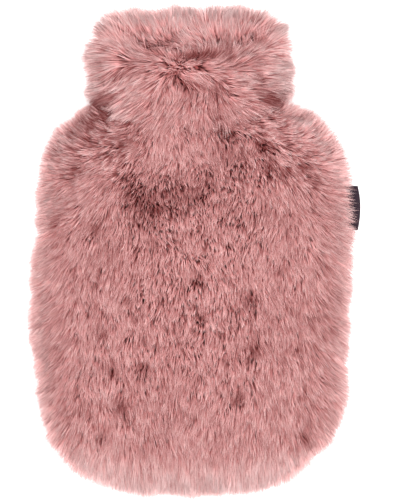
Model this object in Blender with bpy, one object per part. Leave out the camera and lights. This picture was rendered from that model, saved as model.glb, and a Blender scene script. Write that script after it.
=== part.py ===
"""A plush cover for a hot water bottle, lying on its back.

It has four sewn pieces: a front panel and a back panel of long-pile cloth, joined by a seam round the
edge, a turned-down collar round the neck, and a plain folded tape label in the side seam. The solids
reach out to the ends of the pile, so their outer faces are lumpy and combed, and their rims end in locks.

+X is the side with the label, +Y runs up to the collar, and +Z is up from the surface that the cover
lies on. The origin is at the middle of the outline, on that surface. Sizes are in millimetres, and meshes
in metres.
"""

import math
from collections import namedtuple

import bmesh
import bpy

MM = 0.001
CLOSE = 0.3  # gap between two pieces that touch

# Heights over the surface
SEAM_Z = 30.0  # the side seam, where the two panels meet
CROWN = 37.0  # how far the front panel's pile stands over the seam
BELLY = 34.0  # how far the back panel would hang under the seam, before the surface flattens it
NECK_CROWN = 20.5  # the same two at the neck, where the collar presses the pile down
NECK_BELLY = 18.5

# Along the cover
BOTTOM_Y = -188.5
NECK_Y = 112.0  # the panels end here, and the collar is sewn to them
CENTRE_X = -2.0  # the middle of the neck, a little off the middle of the outline

# Shape of a panel
ROUNDNESS = 3.0  # of a cross section: 2 is an ellipse, more is squarer
BOTTOM_ROUND = 36.0  # length over which the pile rounds off to the bottom seam
COLLAR_SHADE = (78.0, 108.0)  # the collar presses the panels' pile down between these two heights
ROW_PITCH = 6.0
FRONT_COLUMNS = 48
BACK_COLUMNS = 26
COLUMN_CROWDING = 1.25  # above 0, the columns stand closer together towards the rim

# The combed pile: locks that lie over each other like shingles, fanning out from the middle
LOCK_WIDTH = 15.0
LOCK_LENGTH = 25.0
LOCK_DEPTH = 4.5
COMB_FAN = 0.0075  # how fast the comb's lines spread, for each millimetre
RIM_LOCK = 4.0  # how far the locks on the rim stand out
RELIEF_REACH = 1.6  # the relief fades out within 1 / RELIEF_REACH of the seam's height

Outline = namedtuple("Outline", "y left right")
OUTLINE = (
    Outline(-188.5, -38.0, 32.0),
    Outline(-184.0, -58.0, 52.0),
    Outline(-178.5, -73.0, 66.0),
    Outline(-171.0, -86.5, 81.0),
    Outline(-163.5, -95.5, 89.5),
    Outline(-155.5, -102.5, 97.0),
    Outline(-140.5, -111.5, 108.0),
    Outline(-117.5, -119.5, 117.0),
    Outline(-94.5, -123.0, 117.0),
    Outline(-63.5, -127.0, 117.5),
    Outline(-17.5, -126.5, 120.5),
    Outline(28.5, -125.0, 122.5),
    Outline(59.0, -121.0, 119.0),
    Outline(74.5, -116.5, 114.5),
    Outline(89.5, -108.0, 105.5),
    Outline(97.5, -102.0, 99.5),
    Outline(105.0, -94.5, 91.0),
    Outline(112.0, -85.0, 80.5),
)

Space = namedtuple("Space", "y half_width half_height")
BOTTLE_SPACE = (  # the hollow that holds the bottle, about the seam's height
    Space(-162.0, 40.0, 2.5),
    Space(-159.0, 54.0, 6.5),
    Space(-152.0, 70.0, 10.5),
    Space(-140.0, 83.0, 13.5),
    Space(-120.0, 91.0, 15.0),
    Space(-60.0, 93.0, 15.0),
    Space(20.0, 94.0, 15.0),
    Space(62.0, 91.0, 15.0),
    Space(82.0, 80.0, 14.5),
    Space(96.0, 63.0, 13.0),
    Space(106.0, 51.0, 11.5),
    Space(112.0, 46.0, 11.0),
    Space(118.0, 46.0, 11.0),
)
SPACE_ROUNDNESS = 2.6
SPACE_STEPS = 28

Layer = namedtuple("Layer", "half_width above below")
COLLAR_LAYERS = (  # ovals round the neck, from the inside out
    Layer(46.0, 11.0, 11.0),  # ends of the pile that faces the bottle
    Layer(55.0, 20.0, 19.0),  # outer face of the inner layer
    Layer(57.0, 22.5, 21.0),  # inner face of the layer that is turned down
    Layer(79.5, 45.0, 31.0),  # ends of the pile that shows
)
OUTER = len(COLLAR_LAYERS) - 1
COLLAR_ROUNDNESS = 2.4

Turn = namedtuple("Turn", "angle fold hem hem_pile")
COLLAR_TURNS = (  # round the neck from the label's side, over the front, in degrees
    Turn(0.0, 171.0, 112.6, 0.97),
    Turn(25.0, 160.0, 111.0, 0.90),
    Turn(60.0, 150.0, 101.0, 0.74),
    Turn(90.0, 148.5, 97.5, 0.66),
    Turn(120.0, 151.0, 101.0, 0.74),
    Turn(155.0, 163.0, 110.0, 0.90),
    Turn(180.0, 174.0, 112.6, 0.97),
    Turn(205.0, 184.0, 112.0, 0.97),
    Turn(240.0, 188.0, 106.0, 0.92),
    Turn(270.0, 189.0, 102.0, 0.88),
    Turn(300.0, 187.5, 106.0, 0.92),
    Turn(335.0, 182.0, 112.0, 0.97),
    Turn(360.0, 171.0, 112.6, 0.97),
)
COLLAR_STEPS = 72
COLLAR_LANES = 31.5  # locks round the collar
FOLD_ROUND = 17.0  # length over which the collar rounds off to its fold
FOLD_SLIT = 15.0  # how far the slit between the two layers stops short of the fold
HEM_ROUND = 0.25  # share of the pile that rounds off at the hem
BACK_LEDGE_Z = 31.0  # the back of the collar rises to this height inside its mouth
BACK_LEDGE = (146.0, 172.0)  # and does so between these two heights
COLLAR_LOCK = 3.0
COLLAR_CLEAR = 1.0  # between the turned-down layer and the panels

Crease = namedtuple("Crease", "x1 y1 x2 y2 depth width")
COLLAR_CREASES = (  # where the neck draws the collar's front in
    Crease(-14.0, 152.0, -13.0, 127.0, 6.0, 6.0),
    Crease(-13.0, 127.0, 17.0, 122.0, 5.0, 5.5),
)
BODY_CREASES = (
    Crease(-36.0, 42.0, -14.0, 34.0, 3.5, 10.0),
    Crease(16.0, 96.0, 26.0, 88.0, 3.0, 7.0),
)

# The label, a folded tape that lies flat in the seam
LABEL_LENGTH = 34.0
LABEL_Y = 32.5
LABEL_ROOT_X = 99.0
LABEL_FOLD_X = 128.0
LABEL_BOW = 2.0  # the fold stands out this much more in the middle
LABEL_CLOTH = 1.0
LABEL_SLIT = 0.5
LABEL_STEPS = 8

PLUSH_COLOUR = (0.56, 0.235, 0.225, 1.0)
TAPE_COLOUR = (0.035, 0.022, 0.028, 1.0)


def scatter(*seeds):
    """A number from 0 to 1 that is always the same for the same seeds."""
    value = math.sin(sum((n + 1.7) * seed * 12.9898 for n, seed in enumerate(seeds)) + 4.1) * 43758.5453
    return value - math.floor(value)


def smooth_step(low, high, value):
    share = min(1.0, max(0.0, (value - low) / (high - low)))
    return share * share * (3 - 2 * share)


def read_table(table, place):
    """A table's row at any place along its first column, on a smooth curve through its rows."""
    last = len(table) - 2
    k = next((n for n in range(last) if place < table[n + 1][0]), last)
    before, start, end, after = (table[min(max(n, 0), last + 1)] for n in (k - 1, k, k + 1, k + 2))
    span = end[0] - start[0]
    share = (place - start[0]) / span
    values = [place]
    for column in range(1, len(start)):
        slope_in = (end[column] - before[column]) / (end[0] - before[0]) * span
        slope_out = (after[column] - start[column]) / (after[0] - start[0]) * span
        values.append(
            (2 * share**3 - 3 * share**2 + 1) * start[column]
            + (share**3 - 2 * share**2 + share) * slope_in
            + (3 * share**2 - 2 * share**3) * end[column]
            + (share**3 - share**2) * slope_out
        )
    return type(start)(*values)


def crease_depth(creases, x, y):
    """How far the creases draw the pile in at a place."""
    depth = 0.0
    for crease in creases:
        along_x, along_y = crease.x2 - crease.x1, crease.y2 - crease.y1
        share = ((x - crease.x1) * along_x + (y - crease.y1) * along_y) / (along_x**2 + along_y**2)
        share = min(1.0, max(0.0, share))
        away = math.hypot(x - crease.x1 - share * along_x, y - crease.y1 - share * along_y)
        depth += crease.depth * math.exp(-((away / crease.width) ** 2))
    return depth


def lock_relief(lane, along, depth, seed):
    """Height of shingled locks: each rises from root to tip, then drops to the root of the next."""
    column = math.floor(lane)
    across = 2 * (lane - column) - 1
    place = along + scatter(column, seed)
    row = math.floor(place)
    rise = place - row
    size = 0.55 + 0.45 * scatter(column, row, seed)
    return depth * (size * rise * (1 - 0.7 * across**2) - 0.35)


def body_relief(x, y, seed):
    lane = x * math.exp(COMB_FAN * y) / LOCK_WIDTH
    along = (0.5 * COMB_FAN * x * x - y) / LOCK_LENGTH
    return lock_relief(lane, along, LOCK_DEPTH, seed)


def row_heights():
    """Heights of the panels' rows, evenly spaced along the outline."""
    fine = [BOTTOM_Y + (NECK_Y - BOTTOM_Y) * n / 400 for n in range(401)]
    walked = [0.0]
    for low, high in zip(fine, fine[1:]):
        low_row, high_row = read_table(OUTLINE, low), read_table(OUTLINE, high)
        step = ((high_row.right - high_row.left) - (low_row.right - low_row.left)) / 2
        walked.append(walked[-1] + math.hypot(high - low, step))
    count = round(walked[-1] / ROW_PITCH)
    heights = []
    k = 0
    for n in range(count + 1):
        target = walked[-1] * n / count
        while k < len(fine) - 2 and walked[k + 1] < target:
            k += 1
        share = (target - walked[k]) / (walked[k + 1] - walked[k])
        heights.append(fine[k] + share * (fine[k + 1] - fine[k]))
    return heights


def cloth_material(name, colour, roughness):
    material = bpy.data.materials.new(name)
    material.use_nodes = True
    shader = material.node_tree.nodes["Principled BSDF"]
    shader.inputs["Base Color"].default_value = colour
    shader.inputs["Roughness"].default_value = roughness
    shader.inputs["Metallic"].default_value = 0.0
    return material


def new_object(name, mesh, collection):
    obj = bpy.data.objects.new(name, mesh)
    collection.objects.link(obj)
    return obj


def mesh_of(name, points, faces):
    """A closed mesh with its faces pointing out, from points in millimetres."""
    mesh = bpy.data.meshes.new(name)
    mesh.from_pydata([(x * MM, y * MM, z * MM) for x, y, z in points], [], faces)
    shape = bmesh.new()
    shape.from_mesh(mesh)
    bmesh.ops.recalc_face_normals(shape, faces=shape.faces)
    shape.to_mesh(mesh)
    shape.free()
    return mesh


def panel_mesh(name, side, columns):
    """A panel as a slab from the seam to the ends of its pile. side is 1 in front and -1 at the back."""
    seam = SEAM_Z + side * CLOSE / 2
    full, at_neck = (CROWN, NECK_CROWN) if side > 0 else (BELLY, NECK_BELLY)
    heights = row_heights()
    points = []
    for row, y in enumerate(heights):
        outline = read_table(OUTLINE, y)
        bottom = 1 - min(1.0, (y - BOTTOM_Y) / BOTTOM_ROUND)
        swell = full * (1 - bottom**ROUNDNESS) ** (1 / ROUNDNESS)
        swell += (at_neck - full) * smooth_step(*COLLAR_SHADE, y)
        notch = RIM_LOCK * (0.6 + 0.4 * scatter(row, side)) if (row + (side > 0)) % 2 else 0.0
        left, right = outline.left + notch, outline.right - notch
        for column in range(columns + 1):
            even = 2 * column / columns - 1
            u = math.sin(even * COLUMN_CROWDING) / math.sin(COLUMN_CROWDING)
            x = (left + right) / 2 + u * (right - left) / 2
            inner = max(0.0, 1 - abs(u) ** ROUNDNESS) ** (1 / ROUNDNESS)
            rise = swell * inner
            if 0 < row < len(heights) - 1 and 0 < column < columns:
                strength = min(1.0, RELIEF_REACH * inner) * min(1.0, swell / full)
                rise += body_relief(x - CENTRE_X, y, side) * strength
                rise -= crease_depth(BODY_CREASES, x, y) if side > 0 else 0.0
            lift = RIM_LOCK * (0.5 + 0.5 * scatter(column, side)) if row == 0 and column % 2 else 0.0
            points.append((x, y + lift, max(0.0, seam + side * max(rise, 0.0))))
    width, rows = columns + 1, len(heights) - 1
    faces = []
    for start in range(0, rows * width, width):
        faces += [(n, n + 1, n + 1 + width, n + width) for n in range(start, start + columns)]
    neck = [*range(rows * width, (rows + 1) * width)]
    right_rim = [*range(columns, rows * width + columns + 1, width)]
    left_rim = [*range(rows * width, 0, -width)]
    faces.append(neck)
    faces.append([*range(columns), *right_rim, *left_rim])
    return mesh_of(name, points, faces)


def oval_point(width, above, below, angle, roundness):
    """A place on a rounded oval about the seam's height. A turn of 90 degrees is its top."""
    cosine, sine = math.cos(angle), math.sin(angle)
    x = math.copysign(abs(cosine) ** (2 / roundness), cosine) * width
    z = math.copysign(abs(sine) ** (2 / roundness), sine) * (above if sine > 0 else below)
    return x, z


def lofted_mesh(name, sections, hoop=False):
    """Sections of equally many points, joined in order. A hoop's ends meet, and any other's are filled."""
    count, total = len(sections[0]), len(sections)
    points = [point for section in sections for point in section]
    faces = []
    for k in range(total if hoop else total - 1):
        start, ahead = k * count, (k + 1) % total * count
        for n in range(count):
            beside = (n + 1) % count
            faces.append((start + n, start + beside, ahead + beside, ahead + n))
    if not hoop:
        faces.append([*range(count)])
        faces.append([*range((total - 1) * count, total * count)])
    return mesh_of(name, points, faces)


def bottle_space():
    """The hollow for the bottle, from the bottom out through the neck."""
    rings = []
    for row in BOTTLE_SPACE:
        ring = []
        for n in range(SPACE_STEPS):
            angle = 2 * math.pi * (n + 0.5) / SPACE_STEPS
            x, z = oval_point(row.half_width, row.half_height, row.half_height, angle, SPACE_ROUNDNESS)
            ring.append((CENTRE_X + x, row.y, SEAM_Z + z))
        rings.append(ring)
    return lofted_mesh("bottle_space", rings)


def collar_layer(depth):
    """The collar's oval at any depth between its layers, from 0 inside to OUTER outside."""
    k = min(OUTER - 1, int(depth))
    share = depth - k
    return [a + (b - a) * share for a, b in zip(COLLAR_LAYERS[k], COLLAR_LAYERS[k + 1])]


def collar_place(angle, depth, y, relief=0.0):
    width, above, below = collar_layer(depth)
    x, z = oval_point(width + relief, above + relief, below + relief, angle, COLLAR_ROUNDNESS)
    z += SEAM_Z
    if z < BACK_LEDGE_Z:  # the back's inner pile stands up inside the mouth
        at_back = smooth_step(0.0, 0.5, -math.sin(angle))
        z += (BACK_LEDGE_Z - z) * at_back * smooth_step(*BACK_LEDGE, y) * max(0.0, 1 - depth / 2)
    return CENTRE_X + x, y, max(0.0, z)


def collar_section(step):
    """The collar's folded cloth at one place: up inside, over the fold, down to the hem and back."""
    angle = 2 * math.pi * (step + 0.5) / COLLAR_STEPS
    turn = read_table(COLLAR_TURNS, math.degrees(angle))
    foot, fold_start = NECK_Y + CLOSE, turn.fold - FOLD_ROUND
    hem = turn.hem + (COLLAR_LOCK if step % 2 else 0.0)
    places = [(0.0, foot + (fold_start - foot) * n / 3) for n in range(4)]
    for n in range(1, 8):  # over the fold, as half an ellipse
        swing = math.pi * n / 8
        places.append((OUTER * (1 - math.cos(swing)) / 2, fold_start + FOLD_ROUND * math.sin(swing)))
    section = [collar_place(angle, depth, y, COLLAR_LOCK * (scatter(step, n) - 0.5) * (n > 5))
               for n, (depth, y) in enumerate(places)]
    for n in range(9):  # down the pile that shows, which thins towards the hem
        share = n / 8
        y = fold_start + (hem - fold_start) * share
        thin = (1 - turn.hem_pile) * smooth_step(0.35, 1.0, share)
        thin += HEM_ROUND * smooth_step(0.8, 1.0, share)
        outline_x = collar_place(angle, OUTER, y)[0]
        lane = step * COLLAR_LANES / COLLAR_STEPS
        relief = lock_relief(lane, (fold_start - y) / LOCK_LENGTH, LOCK_DEPTH, 5) * (1 - share**4)
        relief -= crease_depth(COLLAR_CREASES, outline_x, y) if math.sin(angle) > 0 else 0.0
        section.append(collar_place(angle, OUTER - thin, y, relief))
    slit_end = turn.fold - FOLD_SLIT
    section += [collar_place(angle, 2.0, hem + (slit_end - hem) * n / 3) for n in range(4)]
    section += [collar_place(angle, 1.0, slit_end + (foot - slit_end) * n / 2) for n in range(3)]
    return section


def collar_press():
    """The space that the turned-down layer takes from the panels' pile."""
    inner, outer = COLLAR_LAYERS[OUTER - 1], COLLAR_LAYERS[OUTER]
    past_neck = NECK_Y + COLLAR_CLEAR
    sections = []
    for step in range(COLLAR_STEPS):
        angle = 2 * math.pi * (step + 0.5) / COLLAR_STEPS
        hem = read_table(COLLAR_TURNS, math.degrees(angle)).hem - COLLAR_CLEAR
        inside = oval_point(*(size - COLLAR_CLEAR for size in inner), angle, COLLAR_ROUNDNESS)
        outside = oval_point(*(size + LOCK_DEPTH for size in outer), angle, COLLAR_ROUNDNESS)
        corners = ((inside, hem), (outside, hem), (outside, past_neck), (inside, past_neck))
        sections.append([(CENTRE_X + x, y, SEAM_Z + z) for (x, z), y in corners])
    return lofted_mesh("collar_press", sections, hoop=True)


def label_mesh():
    """A tape folded back on itself, seen in section, bowed a little along the seam."""
    inner_round = LABEL_SLIT / 2
    outer_round = inner_round + LABEL_CLOTH
    sections = []
    for n in range(LABEL_STEPS + 1):
        along = 2 * n / LABEL_STEPS - 1
        y = LABEL_Y + along * LABEL_LENGTH / 2
        bend_x = LABEL_FOLD_X - LABEL_BOW * along**2 - outer_round
        section = []
        for radius, steps, way in ((outer_round, 6, 1), (inner_round, 4, -1)):
            section.append((LABEL_ROOT_X, y, SEAM_Z + way * radius))
            for k in range(steps + 1):
                swing = math.pi * k / steps
                z = SEAM_Z + way * radius * math.cos(swing)
                section.append((bend_x + radius * math.sin(swing), y, z))
            section.append((LABEL_ROOT_X, y, SEAM_Z - way * radius))
        sections.append(section)
    return lofted_mesh("label", sections)


def label_pocket(collection):
    """The slot that the label fills in the seam."""
    low, high = LABEL_ROOT_X - CLOSE, LABEL_FOLD_X + RIM_LOCK
    height = LABEL_SLIT + 2 * LABEL_CLOTH + 2 * CLOSE
    bpy.ops.mesh.primitive_cube_add(
        size=1,
        location=((low + high) / 2 * MM, LABEL_Y * MM, SEAM_Z * MM),
        scale=((high - low) * MM, (LABEL_LENGTH + 2 * CLOSE) * MM, height * MM),
    )
    pocket = bpy.context.active_object
    pocket.name = "label_pocket"
    for holder in pocket.users_collection:
        holder.objects.unlink(pocket)
    collection.objects.link(pocket)
    return pocket


def cut(obj, cutter):
    modifier = obj.modifiers.new(cutter.name, "BOOLEAN")
    modifier.operation = "DIFFERENCE"
    modifier.solver = "EXACT"
    modifier.object = cutter


def make_cutters(collection):
    cutters = [
        new_object("bottle_space", bottle_space(), collection),
        new_object("collar_press", collar_press(), collection),
        label_pocket(collection),
    ]
    for cutter in cutters:
        cutter.hide_render = True
        cutter.display_type = "WIRE"
    return cutters


def new_collection(name):
    collection = bpy.data.collections.new(name)
    bpy.context.scene.collection.children.link(collection)
    return collection


def build():
    for obj in list(bpy.data.objects):
        bpy.data.objects.remove(obj)
    cover = new_collection("plush_bottle_cover")
    cutters = make_cutters(new_collection("cutters"))

    front = new_object("front_panel", panel_mesh("front_panel", 1, FRONT_COLUMNS), cover)
    back = new_object("back_panel", panel_mesh("back_panel", -1, BACK_COLUMNS), cover)
    for panel in (front, back):
        for cutter in cutters:
            cut(panel, cutter)

    sections = [collar_section(step) for step in range(COLLAR_STEPS)]
    collar = new_object("collar", lofted_mesh("collar", sections, hoop=True), cover)
    label = new_object("label", label_mesh(), cover)

    for obj in (front, back, collar):
        obj.data.materials.append(cloth_material(obj.name + "_plush", PLUSH_COLOUR, 0.9))
    label.data.materials.append(cloth_material("label_tape", TAPE_COLOUR, 0.7))
    for obj in (front, back, collar, label):
        obj.data.shade_smooth()


build()
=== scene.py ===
# A plush cover for a hot water bottle, lying on its back: cloth skins, combed pile and a tape label
import math

import bpy
import numpy as np
from mathutils.kdtree import KDTree
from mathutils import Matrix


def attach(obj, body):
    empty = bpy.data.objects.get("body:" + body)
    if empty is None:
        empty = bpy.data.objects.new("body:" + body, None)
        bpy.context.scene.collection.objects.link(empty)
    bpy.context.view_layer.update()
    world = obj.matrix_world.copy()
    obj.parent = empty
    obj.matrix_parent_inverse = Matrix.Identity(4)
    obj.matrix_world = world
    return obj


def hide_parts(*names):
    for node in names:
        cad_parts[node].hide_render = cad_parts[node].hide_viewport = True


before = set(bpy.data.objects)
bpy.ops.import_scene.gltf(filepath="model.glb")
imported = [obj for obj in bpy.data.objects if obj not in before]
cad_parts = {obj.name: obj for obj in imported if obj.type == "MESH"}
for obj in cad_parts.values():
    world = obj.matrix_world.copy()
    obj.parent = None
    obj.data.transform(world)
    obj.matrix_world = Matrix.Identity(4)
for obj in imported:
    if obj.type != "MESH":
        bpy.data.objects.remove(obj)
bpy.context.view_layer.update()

mm = 0.001  # lengths below are in millimetres, and meshes in metres
seamZ = 30.0  # height of the side seam over the surface
centreX = -2.0  # middle of the neck


camera = {
    "middle": (8.6, 0.5),  # what the middle of the photograph looks at
    "frameHeight": 382.0,  # how much of the object's length the frame holds, at the seam's height
    "distance": 1500.0,
    "sensor": 36.0,
    "clipStart": 0.01,
}


def addCamera():
    lens = camera["sensor"] * camera["distance"] / camera["frameHeight"]
    data = bpy.data.cameras.new("overhead")
    data.sensor_fit = "AUTO"
    data.sensor_width = camera["sensor"]
    data.lens = lens
    data.clip_start = camera["clipStart"]
    overhead = bpy.data.objects.new("overhead", data)
    x, y = camera["middle"]
    overhead.location = (x * mm, y * mm, (seamZ + camera["distance"]) * mm)
    bpy.context.scene.collection.objects.link(overhead)
    bpy.context.scene.camera = overhead
    print("camera: straight above, lens", round(lens, 1))


class Socket:
    # A node's output that takes part in sums
    def __init__(self, tree, out=None):
        self.tree = tree
        self.out = out

    def make(self, kind, settings, values, wanted=0):
        node = self.tree.nodes.new(kind)
        for name, value in settings.items():
            if name == "stops":
                ramp = node.color_ramp
                ramp.interpolation = "EASE"
                while len(ramp.elements) < len(value):
                    ramp.elements.new(0.5)
                for element, (position, colour) in zip(ramp.elements, value):
                    element.position = position
                    element.color = (*colour, 1.0)
            else:
                setattr(node, name, value)
        for name, value in values.items():
            if isinstance(value, Socket):
                self.tree.links.new(value.out, node.inputs[name])
            else:
                node.inputs[name].default_value = value
        return Socket(self.tree, node.outputs[wanted])

    def beside(self, name):
        return Socket(self.tree, self.out.node.outputs[name])

    def maths(self, operation, first, second):
        return self.make("ShaderNodeMath", {"operation": operation}, {0: first, 1: second})

    def __add__(self, other):
        return self.maths("ADD", self, other)

    def __radd__(self, other):
        return self.maths("ADD", other, self)

    def __sub__(self, other):
        return self.maths("SUBTRACT", self, other)

    def __rsub__(self, other):
        return self.maths("SUBTRACT", other, self)

    def __mul__(self, other):
        return self.maths("MULTIPLY", self, other)

    def __rmul__(self, other):
        return self.maths("MULTIPLY", other, self)


specular = 0.02  # cloth and pile hardly shine


def newMaterial(name, roughness):
    material = bpy.data.materials.new(name)
    material.use_nodes = True
    shader = material.node_tree.nodes["Principled BSDF"]
    shader.inputs["Roughness"].default_value = roughness
    shader.inputs["Specular IOR Level"].default_value = specular
    return material, shader, Socket(material.node_tree)


def feed(socket, shader, name):
    socket.tree.links.new(socket.out, shader.inputs[name])


pileFinish = {
    # Each ramp runs from the foot to the tip: darker at the foot, painted shade deep in the pile, and
    # paler at the tip, painted light through the tips. The dark ramp is also what the painted shade of
    # partings and pockets reaches.
    "darkHair": (  # colours from the foot to the tip
        (0.0, (0.205, 0.036, 0.034)),
        (0.45, (0.205, 0.038, 0.036)),
        (1.0, (0.235, 0.052, 0.050)),
    ),
    "middleHair": (
        (0.0, (0.430, 0.142, 0.135)),
        (0.45, (0.590, 0.250, 0.242)),
        (1.0, (0.650, 0.350, 0.340)),
    ),
    "paleHair": (
        (0.0, (0.730, 0.290, 0.282)),
        (0.45, (0.920, 0.505, 0.495)),
        (1.0, (0.955, 0.735, 0.720)),
    ),
    "streaks": 0.20,
    "streakScale": (340.0, 3.0, 1.0),  # narrow across the tones and long along the hairs
    "roughness": 0.7,
}


def pileMaterial():
    # The map says each hair's tone across, and the way from its foot to its tip upwards, along which
    # painted shade at the foot gives way to painted light at the tip
    finish = pileFinish
    material, shader, bench = newMaterial("dusty_pink_pile", finish["roughness"])
    place = bench.make("ShaderNodeUVMap", {"uv_map": "OFBake"}, {})
    split = bench.make("ShaderNodeSeparateXYZ", {}, {"Vector": place})
    along = split.beside("Y")
    drawn = bench.make("ShaderNodeMapping", {}, {"Vector": place, "Scale": finish["streakScale"]})
    flat = {"noise_dimensions": "2D"}
    streak = bench.make("ShaderNodeTexNoise", flat, {"Vector": drawn, "Detail": 1.0})
    light = (split + (streak - 0.5) * finish["streaks"]) * 2
    dark, middle, pale = (
        bench.make("ShaderNodeValToRGB", {"stops": finish[colours]}, {"Fac": along})
        for colours in ("darkHair", "middleHair", "paleHair")
    )
    clamped = {"data_type": "RGBA", "clamp_factor": True}
    darker = bench.make("ShaderNodeMix", clamped, {0: light, 6: dark, 7: middle}, 2)
    hair = bench.make("ShaderNodeMix", clamped, {0: light - 1.0, 6: darker, 7: pale}, 2)
    feed(hair, shader, "Base Color")
    return material


backingFinish = {
    "dark": (0.380, 0.095, 0.090, 1.0),
    "pale": (0.520, 0.150, 0.145, 1.0),
    "mottle": 900.0,
    "bump": {"Strength": 0.4, "Distance": 0.0004},
    "roughness": 0.9,
}


def backingMaterial():
    finish = backingFinish
    material, shader, bench = newMaterial("pink_backing_cloth", finish["roughness"])
    place = bench.make("ShaderNodeTexCoord", {}, {}, "Object")
    noise = {"Vector": place, "Scale": finish["mottle"], "Detail": 2.0}
    mottle = bench.make("ShaderNodeTexNoise", {}, noise)
    blend = {0: mottle, 6: finish["dark"], 7: finish["pale"]}
    cloth = bench.make("ShaderNodeMix", {"data_type": "RGBA"}, blend, 2)
    feed(cloth, shader, "Base Color")
    bump = bench.make("ShaderNodeBump", {}, {"Height": mottle, **finish["bump"]})
    feed(bump, shader, "Normal")
    return material


def deselectAll():
    for obj in bpy.context.selected_objects:
        obj.select_set(False)


def applyModifier(obj, kind, settings):
    modifier = obj.modifiers.new(kind.lower(), kind)
    for name, value in settings.items():
        setattr(modifier, name, value)
    bpy.context.view_layer.objects.active = obj
    bpy.ops.object.modifier_apply(modifier=modifier.name)


def readPoints(mesh):
    points = np.empty(len(mesh.vertices) * 3)
    mesh.vertices.foreach_get("co", points)
    return points.reshape(-1, 3)


def layCloth(name, columns, rows, place):
    # A flat grid from -1 to 1 both ways, whose points are then put in place on the cloth's outer face
    deselectAll()
    bpy.ops.mesh.primitive_grid_add(x_subdivisions=columns, y_subdivisions=rows, size=2)
    cloth = bpy.context.active_object
    cloth.name = name
    cloth.data.name = name
    flat = readPoints(cloth.data)
    cloth.data.vertices.foreach_set("co", (place(flat[:, 0], flat[:, 1]) * mm).ravel())
    bpy.ops.object.mode_set(mode="EDIT")
    bpy.ops.mesh.select_all(action="SELECT")
    bpy.ops.mesh.remove_doubles(threshold=0.00001)
    bpy.ops.mesh.normals_make_consistent(inside=False)
    bpy.ops.object.mode_set(mode="OBJECT")
    return cloth


def thicken(cloth, thickness):
    inward = {"thickness": thickness * mm, "offset": -1.0, "use_even_offset": False}
    applyModifier(cloth, "SOLIDIFY", inward)
    deselectAll()
    cloth.select_set(True)
    bpy.context.view_layer.objects.active = cloth
    bpy.ops.object.shade_smooth()


def easeBetween(low, high, value):
    share = np.clip((value - low) / (high - low), 0.0, 1.0)
    return share * share * (3.0 - 2.0 * share)


panels = {
    "columns": 38,
    "rows": 48,
    "cloth": 2.0,  # thickness, here and at the collar
    "seamGap": 0.15,
    "rowPower": 1.3,  # the rows lie closer near the bottom
    "columnTurn": 1.25,  # and the columns near the sides
    "roundness": 2.6,
    "bottomRound": 34.0,
    "neckHeights": (86.0, 110.0),  # from the body's swell to the neck's
    "front": {"side": 1.0, "swell": 22.0, "neckSwell": 18.0},
    "back": {"side": -1.0, "swell": 18.0, "neckSwell": 14.0},
    "outline": (  # y, left and right of the backing cloth
        (-170.5, -40.0, 28.0),
        (-167.5, -59.0, 48.0),
        (-160.0, -78.0, 70.0),
        (-148.0, -91.5, 84.0),
        (-133.0, -101.0, 96.0),
        (-114.0, -105.0, 103.0),
        (-90.0, -107.0, 103.0),
        (-60.0, -111.5, 104.5),
        (-17.0, -110.5, 106.0),
        (28.0, -105.0, 105.5),
        (56.0, -103.5, 104.0),
        (74.0, -99.0, 97.5),
        (87.0, -89.5, 89.0),
        (97.0, -80.0, 78.5),
        (105.0, -70.0, 62.5),
        (112.0, -60.0, 50.0),
    ),
}


def panelPlace(half):
    outline = np.array(panels["outline"])
    bottom, neck = outline[0, 0], outline[-1, 0]
    power, turn = panels["roundness"], panels["columnTurn"]

    def place(u, v):
        y = bottom + (neck - bottom) * ((v + 1) / 2) ** panels["rowPower"]
        left = np.interp(y, outline[:, 0], outline[:, 1])
        right = np.interp(y, outline[:, 0], outline[:, 2])
        across = np.sin(u * turn) / math.sin(turn)
        low = 1 - np.clip((y - bottom) / panels["bottomRound"], 0, 1)
        toNeck = easeBetween(*panels["neckHeights"], y)
        swell = half["swell"] + (half["neckSwell"] - half["swell"]) * toNeck
        swell = swell * (1 - low**power) ** (1 / power)
        rise = swell * np.clip(1 - np.abs(across) ** power, 0, 1) ** (1 / power)
        x = (left + right) / 2 + across * (right - left) / 2
        return np.stack([x, y, seamZ + half["side"] * (panels["seamGap"] + rise)], axis=1)

    return place


collar = {
    "columns": 64,
    "rows": 28,
    "roundness": 2.4,
    "inner": (50.0, 12.0, 13.0),  # half width, above and below the seam
    "outer": (61.0, 21.5, 21.0),
    "foot": 112.3,
    "foldRound": 9.0,
    "foldShare": (0.42, 0.58),  # the fold's share of the band, from the foot to the hem
    "ledge": (132.0, 160.0),  # between these heights the back rises inside the mouth
    "ledgeSide": (0.0, 0.5),  # sine of the turn to the back, where it starts and where it is full
    "ledgeRise": 12.0,
    "mouth": 128.0,  # over this height pile grows inside the mouth's back
    "mouthTop": 4.0,  # up to this over the seam
    "foldTurn": 0.5,  # a normal's Y, past which it is the fold or the foot
    "turns": (  # degrees from the label's side over the front, height of the fold and of the hem
        (0, 160.5, 115.0),
        (25, 152.5, 113.0),
        (60, 145.5, 105.0),
        (90, 144.5, 101.0),
        (120, 147.0, 105.0),
        (155, 153.5, 113.0),
        (180, 161.0, 115.0),
        (205, 168.5, 116.0),
        (230, 171.5, 112.0),
        (270, 173.0, 108.0),
        (310, 172.5, 112.0),
        (335, 168.5, 116.0),
        (360, 160.5, 115.0),
    ),
}


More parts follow.
